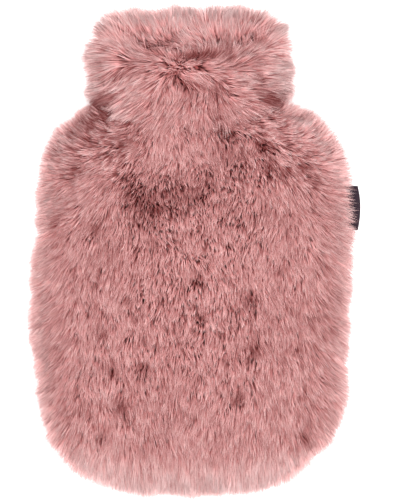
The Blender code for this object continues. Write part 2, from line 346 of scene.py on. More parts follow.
def collarPlace(u, v):
    turns = np.array(collar["turns"], dtype=float)
    angle = np.pi * (1 - u)
    fold = np.interp(np.degrees(angle), turns[:, 0], turns[:, 1])
    hem = np.interp(np.degrees(angle), turns[:, 0], turns[:, 2])
    band = (v + 1) / 2
    low, high = collar["foldShare"]
    foldStart = fold - collar["foldRound"]
    swing = np.pi * np.clip((band - low) / (high - low), 0, 1)
    y = np.where(
        band < low,
        collar["foot"] + (foldStart - collar["foot"]) * band / low,
        np.where(
            band > high,
            foldStart + (hem - foldStart) * (band - high) / (1 - high),
            foldStart + collar["foldRound"] * np.sin(swing),
        ),
    )
    depth = (1 - np.cos(swing)) / 2
    halfWidth, above, below = (a + (b - a) * depth for a, b in zip(collar["inner"], collar["outer"]))
    power = 2 / collar["roundness"]
    cosine, sine = np.cos(angle), np.sin(angle)
    x = np.sign(cosine) * np.abs(cosine) ** power * halfWidth
    z = np.sign(sine) * np.abs(sine) ** power * np.where(sine > 0, above, below)
    ledge = easeBetween(*collar["ledgeSide"], -sine) * easeBetween(*collar["ledge"], y)
    z = z + collar["ledgeRise"] * ledge * (1 - depth)
    return np.stack([centreX + x, y, seamZ + z], axis=1)


lock = {  # one hair: three-sided, its foot in the cloth, drawn out to a point
    "flatness": 0.6,
    "strides": 8,  # steps in which it follows the comb
    "shadeFrom": 0.35,  # a parting's shade is read here for its foot
    "twist": 0.5,  # how unevenly the hairs are turned about their length
    "mapEnds": (0.02, 0.98),  # the hairs keep off the map's borders
    "mapSize": (0.008, 0.012),  # a hair's width and depth on the map
}


def modelLock():
    # A three-sided cone on its foot, pressed flatter
    deselectAll()
    bpy.ops.mesh.primitive_cone_add(
        vertices=3, radius1=1, radius2=0, depth=1, end_fill_type="NGON", location=(0, 0, 0.5)
    )
    hair = bpy.context.active_object
    bpy.ops.object.transform_apply(location=True, rotation=False, scale=False)
    bpy.ops.object.mode_set(mode="EDIT")
    bpy.ops.mesh.select_all(action="SELECT")
    bpy.ops.transform.resize(value=(1, lock["flatness"], 1))
    bpy.ops.mesh.normals_make_consistent(inside=False)
    bpy.ops.object.mode_set(mode="OBJECT")
    side, depth, along = readPoints(hair.data).T
    faces = [tuple(face.vertices) for face in hair.data.polygons]
    bpy.data.objects.remove(hair)
    return {
        "side": side,
        "depth": depth,
        "along": along,
        "corners": np.array([corner for face in faces for corner in face]),
        "sizes": np.array([len(face) for face in faces]),
    }


def unit(vectors):
    return vectors / np.maximum(np.linalg.norm(vectors, axis=-1, keepdims=True), 1e-9)


ripples = {
    "count": 5,
    "pitch": (1.4, 2.6),  # of the size asked for
    "crest": 2.4,
}


def waves(places, field):
    # A smooth uneven field: its strength, the size of its lumps and its seed
    strength, size, seed = field
    random = np.random.default_rng(seed)
    total = np.zeros(len(places))
    for n in range(ripples["count"]):
        turn, start = random.uniform(0, 2 * np.pi, 2)
        pitch = 2 * np.pi / (size * random.uniform(*ripples["pitch"]))
        total += np.sin((places[:, 0] * np.cos(turn) + places[:, 1] * np.sin(turn)) * pitch + start)
    return strength * total / ripples["crest"]


def scatterRoots(cloth, count, random, keep):
    # Places and normals spread evenly over the faces that keep allows, in millimetres
    mesh = cloth.data
    mesh.calc_loop_triangles()
    corners = np.empty(len(mesh.loop_triangles) * 3, dtype=np.int32)
    mesh.loop_triangles.foreach_get("vertices", corners)
    corners = corners.reshape(-1, 3)
    normals = np.empty(len(mesh.vertices) * 3)
    mesh.vertices.foreach_get("normal", normals)
    places, normals = readPoints(mesh)[corners] / mm, normals.reshape(-1, 3)[corners]
    area = np.linalg.norm(np.cross(places[:, 1] - places[:, 0], places[:, 2] - places[:, 0]), axis=1)
    area = area * keep(places.mean(axis=1), unit(normals.mean(axis=1)))
    chosen = random.choice(len(area), count, p=area / area.sum())
    a, b = np.sqrt(random.random(count)), random.random(count)
    shares = np.stack([1 - a, a * (1 - b), a * b], axis=1)[:, :, None]
    return (places[chosen] * shares).sum(axis=1), unit((normals[chosen] * shares).sum(axis=1))


mouth = (10.0, 148.0)  # the crease between the two lips
branch = {
    "place": (-12.0, 145.0),  # a short crease branches off it here
    "reach": 11.0,
    "messReach": 10.0,  # the hairs cross each other this far round it
}


def nearBranch(places, reach):
    x, y = branch["place"]
    return np.exp(-((places[:, 0] - x) ** 2 + (places[:, 1] - y) ** 2) / reach**2)


bend = {
    "heights": (-134.0, -152.0),  # round the bottom, where it starts and where it is full
    "bottom": (0.998, 0.95),  # and a normal's Z at the same places
    "sides": (0.85, 0.60),
    "sideShare": 0.4,
}


def atBend(roots, normals):
    # 1 where the cloth bends into its rim, most of all round the bottom, so that the hairs' feet show
    facing = np.abs(normals[:, 2])
    low = easeBetween(*bend["heights"], roots[:, 1]) * easeBetween(*bend["bottom"], facing)
    return np.maximum(low, bend["sideShare"] * easeBetween(*bend["sides"], facing))


def growPile(roots, normals, pile, random):
    # Each hair leaves its root near the normal and leans over into the comb's direction
    count = len(roots)
    if "lift" in pile:
        normals = pile["lift"](roots, normals)
    steep = 1 - np.abs(normals[:, 2])
    length = pile["length"] * (1 + pile["uneven"] * random.uniform(-1, 1, count))
    length = length * pile["trim"](roots, normals) * (1 + steep * waves(roots, pile["bumps"]))
    length = length * (1 - pile["dip"] * np.clip(partingPushAndShade(roots, pile["spots"])[1], 0, 1))
    wander = random.normal(0, math.radians(pile["stray"]), count) * (1 + pile["rimStray"] * steep)
    wander = wander * (1 + pile["mess"] * nearBranch(roots, branch["messReach"]))
    leanOff = random.normal(0, math.radians(pile["leanUneven"]), count)
    leanOff = leanOff * (1 + atBend(roots, normals)) + np.radians(waves(roots, pile["ruffle"]))
    strides = lock["strides"]
    tips = roots.copy()
    for stride in range(strides):
        walked = (stride + 0.5) / strides
        way = pile["flow"](tips, normals)
        laid = np.clip(np.linalg.norm(way, axis=1), *pile["laid"])
        way = way - normals * (way * normals).sum(axis=1, keepdims=True)
        way[:, 2] -= pile["weight"] * steep
        way = unit(way)
        way = way * np.cos(wander)[:, None] + np.cross(normals, way) * np.sin(wander)[:, None]
        lean = pile["leanRoot"] + (pile["leanTip"] - pile["leanRoot"]) * walked
        lean = np.radians(lean * laid - pile["rimLift"] * steep) + leanOff
        step = normals * np.cos(lean)[:, None] + way * np.sin(lean)[:, None]
        tips = tips + unit(step) * (length / strides)[:, None]
    return tips


def gather(roots, tips, share, strength, loose, random):
    # Hairs draw together towards the nearest of a few chosen ones
    count = len(roots)
    chosen = random.choice(count, max(1, int(count * share)), replace=False)
    tree = KDTree(len(chosen))
    for n, k in enumerate(chosen):
        tree.insert(roots[k], n)
    tree.balance()
    nearest = np.array([tree.find(root)[1] for root in roots])
    return tips + (tips[chosen[nearest]] - tips) * (strength * loose)[:, None], nearest


def keepOffFloor(tips, random):
    tips[:, 2] = np.maximum(tips[:, 2], random.uniform(*growth["offFloor"], len(tips)))
    return tips


def joinHairs(name, roots, tips, normals, widths, looks, sleek, hair, random):
    count, points = len(roots), len(hair["along"])
    ahead = tips - roots
    twist = unit(normals + lock["twist"] * random.normal(size=(count, 3)))
    across = unit(np.cross(ahead, twist))
    upright = np.cross(unit(ahead), across)
    reach = (widths / 2)[:, None, None]
    side, depth, along = (hair[axis][None, :, None] for axis in ("side", "depth", "along"))
    places = roots[:, None] + ahead[:, None] * along
    places = (places + (across[:, None] * side + upright[:, None] * depth) * reach) * mm

    corners = (hair["corners"][None, :] + (np.arange(count) * points)[:, None]).ravel()
    sizes = np.tile(hair["sizes"], count)
    starts = np.concatenate([[0], np.cumsum(sizes)[:-1]])
    mesh = bpy.data.meshes.new(name)
    mesh.vertices.add(count * points)
    mesh.vertices.foreach_set("co", places.ravel())
    mesh.loops.add(len(corners))
    mesh.loops.foreach_set("vertex_index", corners)
    mesh.polygons.add(len(sizes))
    mesh.polygons.foreach_set("loop_start", starts)
    mesh.polygons.foreach_set("use_smooth", np.repeat(sleek, len(hair["sizes"])))
    mesh.update(calc_edges=True)

    low, high = lock["mapEnds"]
    mapWidth, mapDepth = lock["mapSize"]
    footTone, tipTone, start = (np.clip(look, low, high)[:, None] for look in looks)
    shade = footTone + (tipTone - footTone) * hair["along"] + mapWidth * hair["side"]
    rise = start + (high - start) * hair["along"] + mapDepth * hair["depth"]
    strip = np.stack([shade, rise], axis=2).reshape(-1, 2)
    mesh.uv_layers.new(name="OFBake").data.foreach_set("uv", strip[corners].ravel())
    pile = bpy.data.objects.new(name, mesh)
    bpy.context.scene.collection.objects.link(pile)
    print(name, count, "hairs")
    return pile


# Where the comb parts the pile, with painted shade on the hairs there, and spots that are only darker
# or paler: x, y, radius, push and shade
partingsAndPaintedShade = np.array(
    (
        (0.0, 75.0, 42.0, 0.0, 0.03),  # a darker chest, with a pale lobe
        (-18.0, 78.0, 16.0, 0.0, -0.06),
        (-10.0, 62.0, 12.0, 0.0, -0.08),
        (90.0, 86.0, 16.0, 0.0, -0.28),  # the paler shoulder
        (106.0, 60.0, 12.0, 0.0, -0.22),
        (62.0, 113.0, 7.0, 0.1, 1.20),  # painted shade in the hollows where the collar meets the shoulders
        (-75.0, 111.0, 6.0, 0.1, 1.10),
        (-44.0, 34.0, 11.0, 0.08, 0.18),
        (-31.0, 31.0, 10.0, 0.12, 0.29),
        (-13.0, 41.0, 12.0, 0.08, 0.15),
        (5.0, 42.0, 10.0, 0.04, 0.12),
        (18.0, 97.0, 4.5, 0.15, 0.80),
        (21.0, 90.0, 4.5, 0.15, 0.75),
        (28.0, 86.0, 5.0, 0.12, 0.50),
        (45.0, 101.0, 4.8, 0.16, 0.51),
        (24.0, 71.0, 7.0, 0.08, 0.22),
        (38.0, 66.0, 7.0, 0.08, 0.22),
        (52.0, 78.0, 6.4, 0.16, 0.55),
        (57.0, 60.0, 5.6, 0.12, 0.41),
        (72.0, 80.0, 4.8, 0.16, 0.55),
        (83.0, 73.0, 4.0, 0.16, 0.46),
        (84.0, 62.0, 4.8, 0.16, 0.46),
        (93.0, 53.0, 4.8, 0.16, 0.51),
        (70.0, 58.0, 4.8, 0.16, 0.43),
        (-66.0, 101.0, 5.6, 0.2, 0.52),
        (-79.0, 98.0, 5.6, 0.2, 0.58),
        (-85.0, 90.0, 5.6, 0.2, 0.52),
        (-74.0, 82.0, 5.6, 0.12, 0.26),
        (-58.0, 78.0, 5.6, 0.16, 0.42),
        (-91.0, 58.0, 6.4, 0.2, 0.47),
        (-45.0, 50.0, 9.0, 0.12, 0.20),
        (-75.0, 14.0, 5.1, 0.2, 0.45),
        (-105.0, 20.0, 4.2, 0.16, 0.39),
        (3.0, -25.0, 5.1, 0.2, 0.45),
        (43.0, -38.0, 5.1, 0.2, 0.45),
        (5.0, -51.0, 4.2, 0.2, 0.39),
        (45.0, -74.0, 5.1, 0.2, 0.45),
        (80.0, -75.0, 4.2, 0.2, 0.39),
        (-68.0, -65.0, 5.1, 0.2, 0.45),
        (-60.0, -91.0, 5.1, 0.2, 0.39),
        (-39.0, -90.0, 5.1, 0.2, 0.39),
        (34.0, -111.0, 5.1, 0.2, 0.45),
        (-53.0, -119.0, 6.0, 0.2, 0.45),
        (-68.0, -142.0, 4.2, 0.2, 0.39),
        (85.0, -143.0, 5.1, 0.2, 0.45),
    )
)

collarPartingsAndPaintedShade = np.array(
    (
        (-11.0, 147.5, 3.0, 0.1, 0.35),  # painted shadow in the crease between the two lips
        (-5.5, 147.0, 3.0, 0.1, 0.60),
        (0.0, 147.0, 3.2, 0.1, 0.75),
        (6.0, 148.0, 3.6, 0.1, 0.80),
        (12.0, 148.5, 3.0, 0.1, 0.75),
        (17.0, 147.0, 3.0, 0.1, 0.70),
        (20.5, 151.5, 3.0, 0.1, 0.60),
        (28.0, 153.0, 3.0, 0.1, 0.40),
        (31.0, 147.5, 4.0, 0.1, 0.40),
        (26.0, 160.0, 4.0, 0.1, 0.30),
        (-13.0, 138.0, 3.0, 0.0, -0.10),  # the short crease down from its end: a little paler where it starts, painted shadow further down
        (-12.5, 129.5, 3.2, 0.0, 0.45),
        (-8.0, 157.0, 5.0, 0.0, -0.20),  # painted light on the tufts above
        (6.0, 160.0, 6.0, 0.0, -0.20),
        (17.0, 160.0, 5.0, 0.0, -0.15),
        (-4.0, 139.0, 5.0, 0.0, -0.12),  # and painted light on the lobe
        (10.0, 131.0, 6.0, 0.0, -0.12),
        (-9.0, 125.5, 3.2, 0.1, 0.65),  # painted shadow under the lobe
        (-4.0, 122.5, 3.2, 0.1, 0.50),
        (2.0, 121.0, 3.2, 0.1, 0.45),
        (8.0, 119.5, 3.2, 0.1, 0.35),
        (17.0, 116.5, 4.5, 0.1, 0.60),
        (22.0, 123.0, 3.5, 0.1, 0.35),
        (-21.0, 121.0, 4.5, 0.1, 0.30),
        (-31.0, 153.0, 6.0, 0.2, 0.35),
        (-56.0, 134.0, 9.0, 0.1, 0.42),
        (-40.0, 158.0, 6.0, 0.2, 0.28),
        (-16.0, 164.0, 5.0, 0.1, 0.22),
        (50.0, 146.0, 9.0, 0.3, 0.30),
        (41.0, 168.0, 7.0, 0.2, 0.28),
        (62.0, 114.0, 7.0, 0.2, 1.30),
        (57.0, 124.0, 6.0, 0.2, 0.40),
        (-74.0, 112.0, 7.0, 0.2, 1.30),
        (-3.0, 111.0, 6.0, 0.1, 0.15),
    )
)

comb = {
    "halfWidth": 105.0,
    "furthest": 1.05,  # of the half width
    "fan": 28.0,  # degrees from straight down at the side seams
    "fanPower": 3.5,
    "fanHeights": (-190.0, -60.0),
    "drawnIn": 13.0,  # between the middle and the sides the comb turns in a little
    "shoulders": (20.0, 100.0),  # between these heights the shoulders' pile sweeps out and up
    "shoulderFan": 80.0,
    "shoulderPower": 1.5,
    "swirl": (10.0, 45.0, 11),  # uneven turns: degrees, size and seed
    "curl": (13.0, 13.0, 12),
    "collarTop": (-0.7, 0.1),  # a normal's Z, where the collar's comb turns to its front
    "collarSwirls": ((14.0, 28.0, 23), (14.0, 14.0, 24), (14.0, 9.0, 25)),
    "tangle": (45.0, 4.0, 26),  # where the creases meet
    "upright": 0.50,  # the pile stands up more in the middle
    "uprightAcross": (0.8, 0.3),
    "uprightHeights": (-170.0, -60.0),
    "uprightTop": (85.0, 55.0),
    "parted": 0.9,  # and at the partings
    "leastParted": 0.3,
    "held": 0.04,  # how much of its own way the pile keeps beside a stroke
    "strokesOn": (-0.2, 0.3),  # a normal's Z, under and over which strokes fade and hold
    "strokeReach": 9.0,
    "collarReach": 7.0,
}


def partingPushAndShade(places, spots):
    # A push for the comb's way, and painted shade, which is paler where it is negative
    push, shade = np.zeros((len(places), 2)), np.zeros(len(places))
    for x, y, radius, strength, dark in spots:
        away = places[:, :2] - (x, y)
        near = np.exp(-(away**2).sum(axis=1) / radius**2)
        push += strength * near[:, None] * away / radius
        shade += dark * near
    return push, shade


def turned(degrees):
    # Directions over the surface, in degrees from straight down towards +X
    angle = np.radians(degrees)
    return np.column_stack([np.sin(angle), -np.cos(angle), np.zeros(len(angle))])


# Strokes of the comb on the front: x, y and degrees from straight down towards +X
strokes = np.array(
    (
        (-72.0, 109.0, -105.0),
        (-87.0, 101.0, -152.0),
        (-72.0, 98.0, -95.0),
        (-58.0, 97.0, -62.0),
        (-81.0, 89.0, -118.0),
        (-99.0, 91.0, -150.0),
        (-66.0, 85.0, -68.0),
        (-47.0, 91.0, -35.0),
        (-90.0, 77.0, -108.0),
        (-107.0, 75.0, -140.0),
        (-75.0, 72.0, -58.0),
        (-56.0, 75.0, -46.0),
        (-96.0, 62.0, -88.0),
        (-113.0, 60.0, -102.0),
        (-79.0, 60.0, -50.0),
        (-62.0, 63.0, -38.0),
        (-47.0, 59.0, -16.0),
        (-93.0, 46.0, -56.0),
        (-110.0, 46.0, -74.0),
        (-78.0, 42.0, -26.0),
        (-102.0, 34.0, -50.0),
        (-116.0, 33.0, -70.0),
        (-33.0, 94.0, -16.0),
        (-20.0, 97.0, -4.0),
        (-6.0, 97.0, 4.0),
        (8.0, 100.0, 10.0),
        (22.0, 97.0, 24.0),
        (34.0, 103.0, 48.0),
        (-26.0, 77.0, -8.0),
        (-7.0, 77.0, 0.0),
        (12.0, 80.0, 6.0),
        (31.0, 77.0, 4.0),
        (45.0, 106.0, 58.0),
        (63.0, 106.0, 75.0),
        (78.0, 105.0, 132.0),
        (52.0, 94.0, 60.0),
        (69.0, 95.0, 88.0),
        (86.0, 95.0, 136.0),
        (60.0, 83.0, 52.0),
        (77.0, 85.0, 85.0),
        (95.0, 86.0, 138.0),
        (48.0, 71.0, 6.0),
        (69.0, 71.0, 30.0),
        (84.0, 74.0, 68.0),
        (101.0, 75.0, 124.0),
        (80.0, 60.0, 16.0),
        (92.0, 62.0, 50.0),
        (106.0, 63.0, 92.0),
        (116.0, 60.0, 108.0),
        (87.0, 48.0, 16.0),
        (100.0, 49.0, 48.0),
        (113.0, 49.0, 74.0),
        (106.0, 37.0, 36.0),
        (116.0, 36.0, 55.0),
    )
)

# and on the collar
collarStrokes = np.array(
    (
        (-75.0, 172.0, -125.0),
        (-78.0, 153.0, -102.0),
        (-78.0, 137.0, -85.0),
        (-79.0, 121.0, -70.0),
        (-62.0, 161.0, -110.0),
        (-62.0, 146.0, -90.0),
        (-62.0, 129.0, -55.0),
        (-52.0, 169.0, -124.0),
        (-47.0, 153.0, -98.0),
        (-50.0, 138.0, -50.0),
        (-47.0, 123.0, -36.0),
        (-38.0, 176.0, -145.0),
        (-33.0, 166.0, -125.0),
        (-33.0, 149.0, -90.0),
        (-33.0, 135.0, -50.0),
        (-33.0, 118.0, -26.0),
        (-18.0, 181.0, -170.0),
        (-1.0, 176.0, -170.0),
        (22.0, 178.0, 180.0),
        (37.0, 178.0, 162.0),
        (52.0, 173.0, 136.0),
        (52.0, 160.0, 115.0),
        (68.0, 160.0, 106.0),
        (52.0, 143.0, 90.0),
        (71.0, 141.0, 92.0),
        (52.0, 127.0, 82.0),
        (71.0, 124.0, 80.0),
        (58.0, 115.0, 78.0),
        (-62.0, 115.0, -50.0),
        (-49.0, 109.0, -34.0),
        (-7.0, 146.0, 68.0),
        (-7.0, 139.0, 60.0),
        (-7.0, 131.0, 50.0),
        (5.0, 142.0, 68.0),
        (5.0, 132.0, 56.0),
        (14.0, 137.0, 70.0),
        (14.0, 127.0, 50.0),
        (26.0, 137.0, 78.0),
        (26.0, 127.0, 78.0),
        (35.0, 143.0, 82.0),
        (35.0, 132.0, 84.0),
        (41.0, 121.0, 62.0),
        (22.0, 119.0, 22.0),
        (9.0, 115.0, 6.0),
        (-3.0, 117.0, 0.0),
        (-20.0, 147.0, -88.0),
        (-18.0, 140.0, -64.0),
        (-18.0, 132.0, -40.0),
        (-22.0, 124.0, -24.0),
        (-13.0, 123.0, -6.0),
        (-27.0, 132.0, -52.0),
        (-30.0, 144.0, -88.0),
        (-26.0, 152.0, -108.0),
        (-13.0, 152.0, -132.0),
        (-4.0, 153.0, -138.0),
        (5.0, 155.0, -138.0),
        (13.0, 154.0, -140.0),
        (-4.0, 163.0, -155.0),
        (7.0, 165.0, -150.0),
        (16.0, 161.0, -150.0),
        (24.0, 157.0, 178.0),
        (29.0, 161.0, 160.0),
        (-26.0, 167.0, -152.0),
        (-14.0, 169.0, -168.0),
        (40.0, 150.0, 108.0),
        (37.0, 163.0, 142.0),
        (-33.0, 118.0, -26.0),  # combed twice
    )
)


def followStrokes(flow, places, normals, drawn, reach):
    # Near a stroke the pile follows it, and further away it keeps the flow given
    ways = turned(drawn[:, 2])
    onTop = easeBetween(*comb["strokesOn"], normals[:, 2])
    total = flow * comb["held"]
    weight = np.full(len(places), comb["held"])
    for (x, y), way in zip(drawn[:, :2], ways):
        gap = (places[:, 0] - x) ** 2 + (places[:, 1] - y) ** 2
        near = np.exp(-gap / reach**2) * onTop
        total += near[:, None] * way
        weight += near
    return total / weight[:, None]


def sway(flow, degrees):
    cosine, sine = np.cos(np.radians(degrees)), np.sin(np.radians(degrees))
    x, y = flow[:, 0] * cosine - flow[:, 1] * sine, flow[:, 0] * sine + flow[:, 1] * cosine
    return np.column_stack([x, y, flow[:, 2]])


def bodyFlow(places, normals):
    # A flow's length is how far the pile is laid over: near 0 it stands up
    x, y = places[:, 0] - centreX, places[:, 1]
    reach = np.clip(np.abs(x) / comb["halfWidth"], 0, comb["furthest"])
    shoulder = easeBetween(*comb["shoulders"], y)
    fan = comb["fan"] * reach ** comb["fanPower"] * easeBetween(*comb["fanHeights"], y)
    fan = fan - comb["drawnIn"] * np.sin(np.pi * np.minimum(reach, 1))
    fan = fan + comb["shoulderFan"] * reach ** comb["shoulderPower"] * shoulder
    flow = followStrokes(turned(np.sign(x) * fan), places, normals, strokes, comb["strokeReach"])
    flow = sway(flow, waves(places, comb["swirl"]))
    flow = sway(flow, waves(places, comb["curl"]))
    push, shade = partingPushAndShade(places, partingsAndPaintedShade)
    flow[:, :2] += push
    upright = comb["upright"] * easeBetween(*comb["uprightAcross"], reach)
    upright = upright * easeBetween(*comb["uprightHeights"], y) * easeBetween(*comb["uprightTop"], y)
    laid = np.clip(1 - comb["parted"] * shade, comb["leastParted"], 1)
    return flow * (laid * (1 - upright))[:, None]


def collarFlow(places, normals):
    top = easeBetween(*comb["collarTop"], normals[:, 2])
    angle = np.degrees(np.arctan2(places[:, 0] - mouth[0], mouth[1] - places[:, 1])) * top
    flow = followStrokes(turned(angle), places, normals, collarStrokes, comb["collarReach"])
    for swirl in comb["collarSwirls"]:
        flow = sway(flow, waves(places, swirl))
    flow = sway(flow, nearBranch(places, branch["reach"]) * waves(places, comb["tangle"]))
    flow[:, :2] += partingPushAndShade(places, collarPartingsAndPaintedShade)[0]
    return flow


lip = {
    "height": 8.0,  # over the seam
    "forward": (0.2, 0.7),  # a normal's Y
    "outside": (-0.5, 0.0),  # and its Z
    "rise": (0.0, 0.0, 1.6),
}


def liftLip(roots, normals):
    # The front lip's pile rises from its fold and falls forward, but inside the mouth it stays down
    lifted = easeBetween(seamZ, seamZ + lip["height"], roots[:, 2])
    lifted = lifted * easeBetween(*lip["forward"], normals[:, 1])
    lifted = lifted * easeBetween(*lip["outside"], normals[:, 2])
    return unit(normals + np.outer(lifted, lip["rise"]))


bodyCut = {  # heights along the cover, distances from its middle, and a normal's Z at onTop
    "neck": (88.0, 106.0),
    "underHem": (62.0, 42.0),
    "pocket": (46.0, 58.0),
    "shoulderHeights": (40.0, 65.0),
    "shoulderSide": (26.0, 52.0),
    "side": (50.0, 80.0),
    "sideShare": 0.8,
    "onTop": (0.40, 0.75),
    "shorter": (0.2, 0.25, 0.32),  # under the hem, at the pockets, on the shoulders and sides
}


def bodyTrim(roots, normals):
    # Shorter under the collar's hem, on the shoulders and along the sides, but not out at the rims
    cut = bodyCut
    y, beside = roots[:, 1], np.abs(roots[:, 0] - centreX)
    neck = easeBetween(*cut["neck"], y)
    shoulder = easeBetween(*cut["shoulderHeights"], y) * easeBetween(*cut["shoulderSide"], beside)
    side = cut["sideShare"] * easeBetween(*cut["side"], beside)
    topped = np.maximum(shoulder, side) * easeBetween(*cut["onTop"], normals[:, 2])
    hem, pocket = (neck * easeBetween(*cut[where], beside) for where in ("underHem", "pocket"))
    atHem, atPocket, onTop = cut["shorter"]
    return 1 - atHem * hem - atPocket * pocket - onTop * topped


collarCut = {
    "middle": (58.0, 38.0),
    "middleTop": (0.0, 0.5),  # a normal's Z, as at inside and partedTop
    "inside": (0.1, -0.5),
    "insideHeight": 6.0,  # over the seam
    "hem": (122.0, 102.0),
    "hemLonger": 0.35,
    "ragged": (0.30, 9.0, 61),
    "cornerHeights": (126.0, 114.0),
    "cornerSide": (44.0, 56.0),
    "partedTop": (-0.3, 0.2),
    "shorter": (0.22, 0.55, 0.30, 0.38),  # in the middle, inside, at the corners, where creases meet
    "leftEdge": ((-44.0, -60.0), (108.0, 122.0)),  # x and y from which it is longer
    "topRight": ((28.0, 44.0), (152.0, 166.0)),
    "longer": 0.15,
}


def collarTrim(roots, normals):
    # Longer and ragged at the hem, shorter inside the mouth and where the creases meet
    cut = collarCut
    x, y, z = roots.T
    facing, beside = normals[:, 2], np.abs(x - centreX)
    middle = easeBetween(*cut["middle"], beside) * easeBetween(*cut["middleTop"], facing)
    inside = easeBetween(*cut["inside"], facing) * easeBetween(seamZ, seamZ + cut["insideHeight"], z)
    hem = easeBetween(*cut["hem"], y) * middle * (cut["hemLonger"] + waves(roots, cut["ragged"]))
    corner = easeBetween(*cut["cornerHeights"], y) * easeBetween(*cut["cornerSide"], beside)
    parted = nearBranch(roots, branch["reach"]) * easeBetween(*cut["partedTop"], facing)
    inMiddle, within, atCorner, atBranch = cut["shorter"]
    edges = [
        easeBetween(*cut[edge][0], x) * easeBetween(*cut[edge][1], y)
        for edge in ("leftEdge", "topRight")
    ]
    length = 1 - inMiddle * middle + hem - within * inside - atCorner * corner - atBranch * parted
    return length + cut["longer"] * np.maximum(*edges)


bodyPaintedLight = {
    "side": (0.93, 0.4),  # a normal's Z
    "low": (-150.0, -186.0),
    "paler": (0.28, 0.14),  # at the sides and round the bottom
}


def bodyPaintedRimLight(tips, normals):
    # Painted light: how much paler the pile is painted at its rims and round the bottom, for light
    # through the hair tips there
    atSide, atBottom = bodyPaintedLight["paler"]
    side = easeBetween(*bodyPaintedLight["side"], np.abs(normals[:, 2]))
    return atSide * side + atBottom * easeBetween(*bodyPaintedLight["low"], tips[:, 1])


collarPaintedLight = {
    "edge": (40.0, 76.0),
    "edgeShift": 4.0,  # the middle of its edges lies to the right of the neck's
    "high": (152.0, 182.0),
    "front": (102.0, 126.0),
    "paler": (0.30, 0.08),  # at the edges and the top, and over the front
}


def collarPaintedRimLight(tips, normals):
    # and how much paler it is painted at the collar's edges and top, painted light through the hair
    # tips there, and a little over the collar's front
    atEdge, atFront = collarPaintedLight["paler"]
    beside = np.abs(tips[:, 0] - centreX - collarPaintedLight["edgeShift"])
    edge = easeBetween(*collarPaintedLight["edge"], beside)
    high = easeBetween(*collarPaintedLight["high"], tips[:, 1])
    return atFront * easeBetween(*collarPaintedLight["front"], tips[:, 1]) + atEdge * np.maximum(edge, high)


bodyPile = {
    "flow": bodyFlow,
    "trim": bodyTrim,
    # the pile's painted rim light
    "rim": bodyPaintedRimLight,
    "spots": partingsAndPaintedShade,
    "dip": 0.45,  # shorter at a parting
    "laid": (0.2, 1.1),
    "tufts": 0.10,
    "length": 21.5,
    "uneven": 0.16,
    "stray": 17.0,
    "rimStray": 0.4,
    "mess": 0.0,
    "bumps": (0.09, 15.0, 52),  # the rims are uneven
    "leanRoot": 22.0,
    "leanTip": 64.0,
    "leanUneven": 8.0,
    "ruffle": (5.0, 10.0, 51),  # the pile lies flatter and steeper by turns
    "rimLift": 8.0,
    "weight": 0.5,  # how far it hangs at the rims
}

collarPile = {
    "flow": collarFlow,
    "lift": liftLip,
    "trim": collarTrim,
    # the pile's painted rim light
    "rim": collarPaintedRimLight,
    "spots": collarPartingsAndPaintedShade,
    "dip": 0.30,
    "laid": (0.85, 1.1),
    "tufts": 0.20,
    "length": 23.5,
    "uneven": 0.18,
    "stray": 13.0,
    "rimStray": 0.4,
    "mess": 3.0,  # the hairs cross each other where the creases meet
    "bumps": (0.07, 15.0, 52),
    "leanRoot": 24.0,
    "leanTip": 68.0,
    "leanUneven": 8.0,
    "ruffle": (8.0, 12.0, 51),
    "rimLift": 6.0,
    "weight": 0.4,
}

growth = {
    "rim": (0.82, 0.28),  # a normal's Z, where the rims start and where they are full
    "rimDensity": 0.9,  # more hairs grow at the rims, where they show against the light
    "denser": (0.92, 0.6),
    "rimLoose": 0.60,  # and there they gather less
    "fine": (0.34, 0.55),  # share of the hairs that the others draw towards, and how far
    "coarse": (0.075, 0.26),
    "tuftShare": 0.012,
    "offFloor": (0.4, 2.6),  # the lowest tips end this far over the surface
    "uneven": 0.35,  # of the hairs' width
    "rimWidth": 0.72,
    "matt": 0.15,  # share of the hairs that are shaded flat
    "mattAtRims": 0.80,
}

tone = {
    "middle": 0.515,
    "hair": 0.16,  # how much the tone differs from hair to hair, and from lock to lock
    "fine": 0.135,
    "coarse": 0.035,
    "tuft": 0.03,
    "patches": (0.025, 45.0, 31),
    "flecks": (0.02, 9.0, 32),
    "shoulders": 1.5,  # stronger streaks on the shoulders
    "shoulderHeights": (30.0, 90.0),
    "shoulderSide": (30.0, 70.0),
    "rims": 0.9,
    "bendFeet": 0.4,  # where the cloth bends the hairs' feet are painted pale, painted light against the shade deep in the pile
    "bendRise": 0.4,
}


def hairTones(tips, normals, rim, nearest, pile, random):
    # How dark or pale each hair is, with the locks that it belongs to, and the painted rim light of
    # its pile
    count = len(tips)
    fine, coarse, tuft = nearest
    beside = np.abs(tips[:, 0] - centreX)
    shoulder = easeBetween(*tone["shoulderHeights"], tips[:, 1])
    shoulder = shoulder * easeBetween(*tone["shoulderSide"], beside)
    streaky = 1 + np.maximum(tone["shoulders"] * shoulder, tone["rims"] * rim)
    tones = random.normal(0, tone["coarse"], count)[coarse]
    tones = tones + random.normal(0, tone["fine"], count)[fine]
    tones = (tones + random.normal(0, tone["tuft"], count)[tuft]) * streaky
    tones = tones + tone["middle"] + random.normal(0, tone["hair"], count)
    tones = tones + pile["rim"](tips, normals)
    return tones + waves(tips, tone["patches"]) + waves(tips, tone["flecks"])


